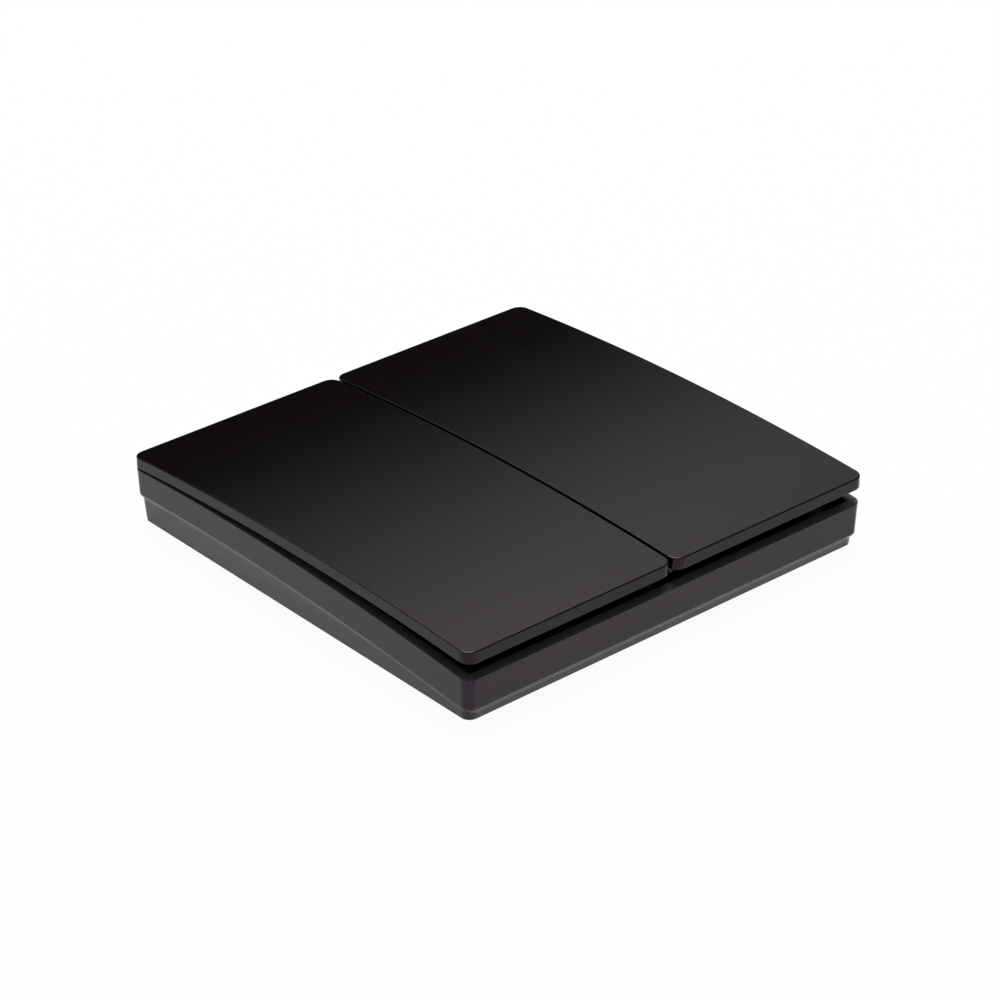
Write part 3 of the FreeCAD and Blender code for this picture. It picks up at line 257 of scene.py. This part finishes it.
def edge_rings(top, bottom, edge):
    """Insets and heights around a plate's section, from its underside to its face, with their tilt."""
    rings = []
    for surface, sign in ((bottom, -1), (top, 1)):
        for i in range(EDGE_STEPS + 1):
            step = i if sign > 0 else EDGE_STEPS - i
            tilt = math.pi / 2 * step / EDGE_STEPS
            inset = edge * (1 - math.cos(tilt))
            shift = -sign * edge * (1 - math.sin(tilt))
            rings.append((inset, surface, shift, sign * tilt))
    return rings


def plate_faces(count, rings):
    """The faces between rings of paired points: round the edge first, then the underside and the face."""
    faces = []
    for ring in range(rings - 1):
        low = 2 * count * ring
        high = low + 2 * count
        for k in range(0, 2 * (count - 1), 2):
            faces.append((low + k, high + k, high + k + 2, low + k + 2))
            faces.append((low + k + 1, low + k + 3, high + k + 3, high + k + 1))
        last = 2 * (count - 1)
        faces.append((low, low + 1, high + 1, high))
        faces.append((low + last, high + last, high + last + 1, low + last + 1))
    face = 2 * count * (rings - 1)
    for k in range(0, 2 * (count - 1), 2):
        faces.append((k, k + 2, k + 3, k + 1))
        faces.append((face + k, face + k + 1, face + k + 3, face + k + 2))
    return faces


def make_plate(name, left, right, front, back, corner, top, bottom, edge):
    """A plate between two arches with a round-cornered plan and rounded edges, with exact normals."""
    points = []
    normals = []
    rings = edge_rings(top, bottom, edge)
    for inset, surface, shift, tilt in rings:
        stations = plan_stations(left + inset, right - inset, front + inset, back - inset, corner - inset)
        for x0, x1, y, side, end in stations:
            height, slope = surface(y)
            face_up = Vector((0.0, -slope, 1.0)).normalized()
            for x, sign in ((x0, -1), (x1, 1)):
                normal = Vector((sign * side, end, 0.0)) * math.cos(tilt) + face_up * math.sin(tilt)
                points.append((x, y, height + shift))
                normals.append(normal.normalized())
    mesh = bpy.data.meshes.new(name)
    mesh.from_pydata(points, [], plate_faces(len(stations), len(rings)))
    mesh.shade_smooth()
    mesh.normals_split_custom_set_from_vertices(normals)
    for polygon in mesh.polygons:
        polygon.material_index = int(abs(polygon.normal.z) < SIDE_UPRIGHT)
    return add_object(name, mesh)


key_face = arch(KEY_HEIGHT, KEY_TILT)
key_back = arch(KEY_HEIGHT - KEY_THICKNESS, KEY_TILT + KEY_WEDGE)
for side, left_end, right_end in (("left", -HALF_SIDE, -HALF_SPLIT), ("right", HALF_SPLIT, HALF_SIDE)):
    cover = make_plate(
        f"{side}_cover_plate", left_end, right_end, -HALF_SIDE, HALF_SIDE, CORNER, key_face, key_back, EDGE
    )
    cover.data.materials.append(key_plastic)
    cover.data.materials.append(key_side)
    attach(cover, f"{side}_key")
    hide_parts(f"{side}_key_cover")

# Front frame: one moulding of the same black plastic, with a leaning outer wall, a rim, and the sunk
# deck that carries the keys' hinge ears and everything behind it. The wall has the keys' satin finish.
SMOOTH_ANGLE = math.radians(30.0)
ROUNDED_ANGLE = math.radians(40.0)
WELD_DISTANCE = 0.000002
ROUNDING_STEPS = 2
MOULDED_EDGE = 0.00012


def dress(node, material):
    """Give a node of the model its finish."""
    mesh = nodes[node].data
    mesh.materials.clear()
    mesh.materials.append(material)


def smooth_faces():
    """Shading that runs smoothly over faces that meet at less than the smooth angle."""
    group = bpy.data.node_groups.new("smooth_faces", "GeometryNodeTree")
    group.interface.new_socket("Geometry", in_out="INPUT", socket_type="NodeSocketGeometry")
    group.interface.new_socket("Geometry", in_out="OUTPUT", socket_type="NodeSocketGeometry")
    steps = Recipe(group)
    shape = steps.node("NodeGroupInput", {}, {})
    angle = steps.node("GeometryNodeInputMeshEdgeAngle", {}, {}, "Unsigned Angle")
    flat = steps.node("FunctionNodeCompare", {"operation": "LESS_THAN"}, {"A": angle, "B": SMOOTH_ANGLE})
    faces = steps.node("GeometryNodeSetShadeSmooth", {}, {"Geometry": shape})
    edges = steps.node(
        "GeometryNodeSetShadeSmooth", {"domain": "EDGE"}, {"Geometry": faces, "Shade Smooth": flat}
    )
    steps.join(edges, group.nodes.new("NodeGroupOutput").name, 0)
    return group


SMOOTH = smooth_faces()


def soften(node, width=0.0):
    """Round a moulding's edges by a small radius, if it has one, and shade its curved faces smoothly."""
    thing = nodes[node]
    thing.modifiers.new("weld", "WELD").merge_threshold = WELD_DISTANCE
    if width:
        bevel = thing.modifiers.new("edges", "BEVEL")
        bevel.width = width
        bevel.segments = ROUNDING_STEPS
        bevel.limit_method = "ANGLE"
        bevel.angle_limit = ROUNDED_ANGLE
        bevel.use_clamp_overlap = True
    thing.modifiers.new("shading", "NODES").node_group = SMOOTH
    if width:
        thing.modifiers.new("normals", "WEIGHTED_NORMAL").keep_sharp = True


SATIN = (0.0040, 0.0022, 0.0040)
# Painted light: the paler grey that the upward faces of the rim and the deck are painted with.
RIM_PAINTED_LIGHT = (0.090, 0.084, 0.090)
FRAME_SHINE = 0.43
WALL_ROUGHNESS = 0.11
WALL_CLOUD = 0.02
ERODED_ROUGHNESS = 0.34
FRAME_GRAIN = 0.00018
WALL_UPWARD = 0.5
DECK_UPWARD = 0.9
RIM_INSIDE = 0.0411
DECK_PAINTED_SHARE = 0.1


def frame_finish():
    """Satin walls, and a duller rim and deck where the mould was left as eroded, whose upward faces carry
    painted light: a paler grey painted on.
    """
    finish = plastic("frame_plastic", FRAME_SHINE)
    upward = finish.parts(finish.node("ShaderNodeTexCoord", {}, {}, "Normal"))[2]
    level = finish.passage(upward, WALL_UPWARD, DECK_UPWARD)
    across, along = finish.parts(finish.place)[:2]
    out = finish.maths("MAXIMUM", finish.maths("ABSOLUTE", across), finish.maths("ABSOLUTE", along))
    rim = finish.maths("GREATER_THAN", out, RIM_INSIDE)
    # Painted light: the rim's upward faces are painted paler grey, and the deck's a tenth as much, for
    # light falling on them.
    painted_light = level * (DECK_PAINTED_SHARE + (1.0 - DECK_PAINTED_SHARE) * rim)
    finish.feed("Base Color", finish.blend(painted_light, SATIN, RIM_PAINTED_LIGHT))
    cloud = WALL_CLOUD * finish.noise(CLOUD_SIZE, CLOUD_DETAIL)
    finish.feed("Roughness", WALL_ROUGHNESS + cloud + ERODED_ROUGHNESS * level)
    finish.bump(finish.noise(FRAME_GRAIN, GRAIN_DETAIL), GRAIN_DEPTH)
    return finish.material


frame_plastic = frame_finish()
dress("front_frame", frame_plastic)
soften("front_frame", MOULDED_EDGE)

# Key carriers: ribbed mouldings of the same plastic under the covers, with the hinge pins, the hooks
# that hold each key down, and the pusher that works the generator.
SIDES = ("left", "right")
for side in SIDES:
    dress(f"{side}_key_carrier", frame_plastic)
    soften(f"{side}_key_carrier")

# Back shell: a tray of greyer plastic with a tapered band that stands off the wall, and slotted
# screw holes in its floor. The frame clips over its lip, and its rim flares out under the frame's wall.
SHELL_SHINE = 0.45
SHELL_DARK = (0.016, 0.014, 0.016)
SHELL_PALE = (0.024, 0.022, 0.024)
SHELL_ROUGHNESS = 0.16
SEAM_HEIGHT = 0.00526
SEAM_SLOPE = 0.03347
SEAM_RADIUS = 0.554
COVE_DEPTH = 0.0013
COVE_LEFT = 0.20
COVE_FRONT = 0.75
BAND_FRONT = 0.15
DOWN = (0.0, 0.0, -1.0)


def shell_finish():
    """Greyer plastic, whose shading follows the hollow of the flared rim."""
    finish = plastic("shell_plastic", SHELL_SHINE)
    cloud = finish.noise(CLOUD_SIZE, CLOUD_DETAIL)
    finish.feed("Base Color", finish.blend(cloud, SHELL_DARK, SHELL_PALE))
    finish.feed("Roughness", SHELL_ROUGHNESS + CLOUD_ROUGHNESS * cloud)
    y, z = finish.parts(finish.place)[1:]
    seam = SEAM_HEIGHT + SEAM_SLOPE * y - 0.5 / SEAM_RADIUS * (y * y)
    cove = finish.passage((seam - z) * (1.0 / COVE_DEPTH), 0.0, 1.0, 1.0, 0.0)
    outward = finish.node("ShaderNodeTexCoord", {}, {}, "Normal")
    across, along = finish.parts(outward)[:2]
    front = along * along
    finish.feed("Coat Weight", cove * front)
    lean = cove * (COVE_LEFT * (across * across) + COVE_FRONT * front) + BAND_FRONT * front
    lowered = finish.node("ShaderNodeVectorMath", {"operation": "SCALE"}, {0: DOWN, "Scale": lean})
    turned = finish.node("ShaderNodeVectorMath", {"operation": "ADD"}, {0: outward, 1: lowered})
    finish.feed("Normal", finish.node("ShaderNodeVectorMath", {"operation": "NORMALIZE"}, {0: turned}))
    return finish.material


dress("back_shell", shell_finish())
soften("back_shell", MOULDED_EDGE)

# Generator mouldings: base, bobbin and rocker in glass-filled black nylon, with its dull fibre grain.
# The base is screwed to the deck, the bobbin sits in it, and the rocker turns on its axle.
NYLON_BLACK = (0.014, 0.014, 0.015)
NYLON_ROUGHNESS = 0.55
FIBRE_GRAIN = 0.00030
FIBRE_DEPTH = 0.000008
nylon = moulded_plastic("inner_plastic", NYLON_BLACK, NYLON_ROUGHNESS, FIBRE_GRAIN, FIBRE_DEPTH)
for side in SIDES:
    for piece in ("generator_base", "coil_bobbin", "rocker"):
        dress(f"{side}_{piece}", nylon)
        soften(f"{side}_{piece}")

# Coil windings: enamelled copper wire of a few hundredths of a millimetre, wound across the bobbin
# in tight level layers, so that the turns show as fine lines around the coil.
# Painted light: the wire's colour is painted brighter along each turn's top and darker between the turns.
WIRE_PAINTED_SHADE = (0.42, 0.16, 0.07)
WIRE_PAINTED_HIGHLIGHT = (0.78, 0.36, 0.19)
WIRE_ROUGHNESS = 0.42
WIRE_GLOSS = 0.12
WIRE_DEPTH = 0.00002
TURNS_SCALE = 2600.0
TURNS_UNEVEN = 0.4


def wound_wire():
    """Copper in fine turns, glossier along the top of each turn, with a painted highlight there and painted
    shade between the turns.
    """
    finish = Finish("copper_wire", Metallic=1.0)
    inputs = {"Vector": finish.place, "Scale": TURNS_SCALE, "Distortion": TURNS_UNEVEN}
    turns = finish.node("ShaderNodeTexWave", {"bands_direction": "Y"}, inputs)
    finish.feed("Base Color", finish.blend(turns, WIRE_PAINTED_SHADE, WIRE_PAINTED_HIGHLIGHT))
    finish.feed("Roughness", WIRE_ROUGHNESS - WIRE_GLOSS * turns)
    finish.bump(turns, WIRE_DEPTH)
    return finish.material


copper_wire = wound_wire()
for side in SIDES:
    dress(f"{side}_coil_winding", copper_wire)
    soften(f"{side}_coil_winding")

# Iron, steel and spring steel: stamped core and poles, turned axle, screws, leaf and return springs.
# Stamped and rolled sheet keeps the fine lines of its rolling along its length.
LINE_SIZE = 0.0004
LINE_DETAIL = 3.0
LINE_TONE = 0.8
LINE_ROUGHNESS = 0.12
LINE_DEPTH = 0.000003
ALONG = (1.0, 0.05, 1.0)
ANY_WAY = (1.0, 1.0, 1.0)


def rolled_metal(name, colour, rough, stretch):
    """Metal with fine lines, drawn out as the stretch says."""
    finish = Finish(name, Metallic=1.0)
    lines = finish.noise(LINE_SIZE, LINE_DETAIL, stretch)
    dull = tuple(channel * LINE_TONE for channel in colour)
    finish.feed("Base Color", finish.blend(lines, dull, colour))
    finish.feed("Roughness", rough - LINE_ROUGHNESS / 2 + LINE_ROUGHNESS * lines)
    finish.bump(lines, LINE_DEPTH)
    return finish.material


steel = rolled_metal("steel", colour=(0.60, 0.59, 0.57), rough=0.36, stretch=ALONG)
spring_steel = rolled_metal("spring_steel", colour=(0.52, 0.52, 0.54), rough=0.26, stretch=ALONG)
magnet_plate = rolled_metal("magnet", colour=(0.42, 0.42, 0.43), rough=0.30, stretch=ANY_WAY)
tinned = rolled_metal("tinned", colour=(0.70, 0.70, 0.68), rough=0.34, stretch=ANY_WAY)
for side in SIDES:
    for piece in ("coil_core", "rocker_axle", "upper_pole", "lower_pole"):
        dress(f"{side}_{piece}", steel)
    dress(f"{side}_leaf_spring", spring_steel)
    dress(f"{side}_magnet", magnet_plate)
    dress(f"{side}_coil_pins", tinned)
    soften(f"{side}_rocker_axle")
for piece in ("board_screws", "generator_screws"):
    dress(piece, steel)
    soften(piece)
dress("antenna", tinned)

# Return springs: strips of spring steel bent back on themselves, with the foot on the deck and the arm
# under the key.
for side in SIDES:
    solid = nodes[f"{side}_return_spring"]
    strip = add_object(f"{side}_spring_strip", solid.data.copy())
    strip.matrix_world = solid.matrix_world
    strip.data.materials.clear()
    strip.data.materials.append(spring_steel)
    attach(strip, "base")
    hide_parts(f"{side}_return_spring")
    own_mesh(strip)

# Circuit board: glass-epoxy laminate under a green solder mask, in which copper tracks show faintly,
# with chips in black epoxy, a tinned crystal can and tan ceramic storage capacitors.
MASK_IOR = 1.5
MASK_GROUND = (0.010, 0.055, 0.022)
MASK_TRACK = (0.022, 0.105, 0.040)
MASK_ROUGHNESS = 0.34
MASK_CLOUD = 0.002
MASK_DEPTH = 0.00001
TRACK_SCALE = 420.0
TRACK_WIDTH = 0.06
TRACK_SOFTNESS = 0.2
PACKAGE_IOR = 1.52
DUST_SIZE = 0.0003
DUST_TONE = 0.7
DUST_DEPTH = 0.000004
UNEVEN_ROUGHNESS = 0.1


def masked_board():
    """Solder mask over a plain pattern of tracks, along which it is paler and a little raised."""
    finish = Finish("board", IOR=MASK_IOR)
    settings = {"offset": 0.5, "squash": 1.0}
    inputs = {
        "Vector": finish.place,
        "Scale": TRACK_SCALE,
        "Mortar Size": TRACK_WIDTH,
        "Mortar Smooth": TRACK_SOFTNESS,
    }
    tracks = finish.node("ShaderNodeTexBrick", settings, inputs, "Fac")
    finish.feed("Base Color", finish.blend(tracks, MASK_GROUND, MASK_TRACK))
    finish.feed("Roughness", MASK_ROUGHNESS + UNEVEN_ROUGHNESS * finish.noise(MASK_CLOUD))
    finish.bump(tracks, MASK_DEPTH)
    return finish.material


def packaged(name, colour, rough):
    """The dull, faintly speckled skin of a moulded or sintered part."""
    finish = Finish(name, IOR=PACKAGE_IOR)
    dust = finish.noise(DUST_SIZE)
    darker = tuple(channel * DUST_TONE for channel in colour)
    finish.feed("Base Color", finish.blend(dust, darker, colour))
    finish.feed("Roughness", rough + UNEVEN_ROUGHNESS * dust)
    finish.bump(dust, DUST_DEPTH)
    return finish.material


dress("circuit_board", masked_board())
soften("circuit_board")
chip = packaged("chip", colour=(0.020, 0.020, 0.022), rough=0.5)
dress("radio_chip", chip)
dress("power_chip", chip)
dress("crystal", tinned)
dress("storage_capacitors", packaged("capacitor", colour=(0.36, 0.22, 0.12), rough=0.45))

# The stage: a white floor under the switch, which shows white to the eye and in glossy faces, keeps a
# faint shadow of the switch, and is clear from below.
FLOOR_REACH = 3.0
FLOOR_DROP = -0.00002
FLOOR_WHITE = 0.90
SHOWN_WHITE = 0.95
WHITE = (1.0, 1.0, 1.0, 1.0)


def stage_sheet(name, corners, finish):
    """A flat sheet with four corners, which isn't part of the switch."""
    mesh = bpy.data.meshes.new(name)
    mesh.from_pydata(corners, [], [(0, 1, 2, 3)])
    mesh.materials.append(finish.material)
    sheet = add_object(name, mesh)
    return sheet


paper = Finish(
    "paper", Roughness=1.0, Base_Color=(FLOOR_WHITE, FLOOR_WHITE, FLOOR_WHITE, 1.0), Specular_IOR_Level=0.0
)
camera_ray = paper.node("ShaderNodeLightPath", {}, {}, "Is Camera Ray")
glossy_ray = paper.node("ShaderNodeLightPath", {}, {}, "Is Glossy Ray")
clear_ray = paper.node("ShaderNodeLightPath", {}, {}, "Is Transmission Ray")
lit = Mark(paper, paper.shader.outputs[0])
white = paper.node("ShaderNodeEmission", {}, {"Color": WHITE, "Strength": 1.0})
seen = (camera_ray + glossy_ray + clear_ray) * SHOWN_WHITE
shown = paper.node("ShaderNodeMixShader", {}, {0: seen, 1: lit, 2: white})
below = paper.node("ShaderNodeNewGeometry", {}, {}, "Backfacing")
clear = paper.node("ShaderNodeBsdfTransparent", {}, {})
one_sided = paper.node("ShaderNodeMixShader", {}, {0: below, 1: shown, 2: clear})
paper.join(one_sided, "Material Output", "Surface")
floor_plan = ((-1, -1), (1, -1), (1, 1), (-1, 1))
stage_sheet("floor", [(FLOOR_REACH * x, FLOOR_REACH * y, FLOOR_DROP) for x, y in floor_plan], paper)

# The lamps: a large soft one, overhead and a little behind, so steep that the plates' rounded edges
# mirror none of it, and a dim one on the near side, which lights the frame's rim in the gap.
LAMP_DISTANCE = 1.5
OVERHEAD_AZIMUTH = math.radians(41.0)
OVERHEAD_ELEVATION = math.radians(72.0)
OVERHEAD_SIZE = 0.97
OVERHEAD_RADIANCE = 9.2
NEAR_AZIMUTH = math.radians(221.0)
NEAR_ELEVATION = math.radians(50.0)
NEAR_WIDTH = 1.8
NEAR_HEIGHT = 0.8
NEAR_RADIANCE = 0.95


def area_lamp(name, azimuth, elevation, width, height, radiance, round_shape=False):
    """A flat lamp of even radiance that faces the switch."""
    lamp = add_object(name, bpy.data.lights.new(name, "AREA"))
    lamp.data.shape = "ELLIPSE" if round_shape else "RECTANGLE"
    lamp.data.size = width
    lamp.data.size_y = height
    area = width * height * (math.pi / 4 if round_shape else 1.0)
    lamp.data.energy = radiance * math.pi * area
    flat = math.cos(elevation)
    towards = Vector((math.sin(azimuth) * flat, math.cos(azimuth) * flat, math.sin(elevation)))
    lamp.location = towards * LAMP_DISTANCE
    lamp.rotation_euler = towards.to_track_quat("Z", "Y").to_euler()


area_lamp(
    "overhead_lamp", OVERHEAD_AZIMUTH, OVERHEAD_ELEVATION, OVERHEAD_SIZE, OVERHEAD_SIZE, OVERHEAD_RADIANCE,
    round_shape=True,
)
area_lamp("near_lamp", NEAR_AZIMUTH, NEAR_ELEVATION, NEAR_WIDTH, NEAR_HEIGHT, NEAR_RADIANCE)

# A dim upright card behind the hinged end, whose light fades towards its foot and its right end: the
# arched keys mirror it, bright at the pressed end and black at the hinges.
CARD_DISTANCE = 3.0
CARD_RADIANCE = 1.04
CARD_FOOT = 0.464
CARD_FULL = 1.18
CARD_TOP = 1.60
CARD_LEFT = -0.60
CARD_FADE = 0.90
CARD_RIGHT = 1.75

glow = Finish("card_glow")
sides, heights = glow.parts(glow.place)[::2]
rising = glow.passage(heights, CARD_DISTANCE * CARD_FOOT, CARD_DISTANCE * CARD_FULL)
falling = glow.passage(sides, CARD_DISTANCE * CARD_FADE, CARD_DISTANCE * CARD_RIGHT, 1.0, 0.0)
light = glow.node("ShaderNodeEmission", {}, {"Strength": CARD_RADIANCE})
unlit = glow.node("ShaderNodeEmission", {}, {"Strength": 0.0})
graded = glow.node("ShaderNodeMixShader", {}, {0: rising * falling, 1: unlit, 2: light})
glow.join(graded, "Material Output", "Surface")
card_plan = ((CARD_LEFT, CARD_FOOT), (CARD_RIGHT, CARD_FOOT), (CARD_RIGHT, CARD_TOP), (CARD_LEFT, CARD_TOP))
card_corners = [(CARD_DISTANCE * x, CARD_DISTANCE, CARD_DISTANCE * z) for x, z in card_plan]
stage_sheet("far_card", card_corners, glow).visible_camera = False

# The room: nearly dark overhead, as the black keys mirror it, with a pale backdrop that only the eye
# sees beyond the floor.
ROOM_DIM = 0.02
BACKDROP_GREY = (0.8, 0.8, 0.8, 1.0)

world = bpy.data.worlds.new("room")
bpy.context.scene.world = world
world.use_nodes = True
room = Recipe(world.node_tree)
air = room.tree.nodes["Background"]
air.inputs["Color"].default_value = WHITE
air.inputs["Strength"].default_value = ROOM_DIM
dim = Mark(room, air.outputs[0])
backdrop = room.node("ShaderNodeBackground", {}, {"Color": BACKDROP_GREY, "Strength": 1.0})
eye_ray = room.node("ShaderNodeLightPath", {}, {}, "Is Camera Ray")
mixed = room.node("ShaderNodeMixShader", {}, {0: eye_ray, 1: dim, 2: backdrop})
room.join(mixed, "World Output", "Surface")

bpy.context.scene.view_settings.view_transform = "Standard"
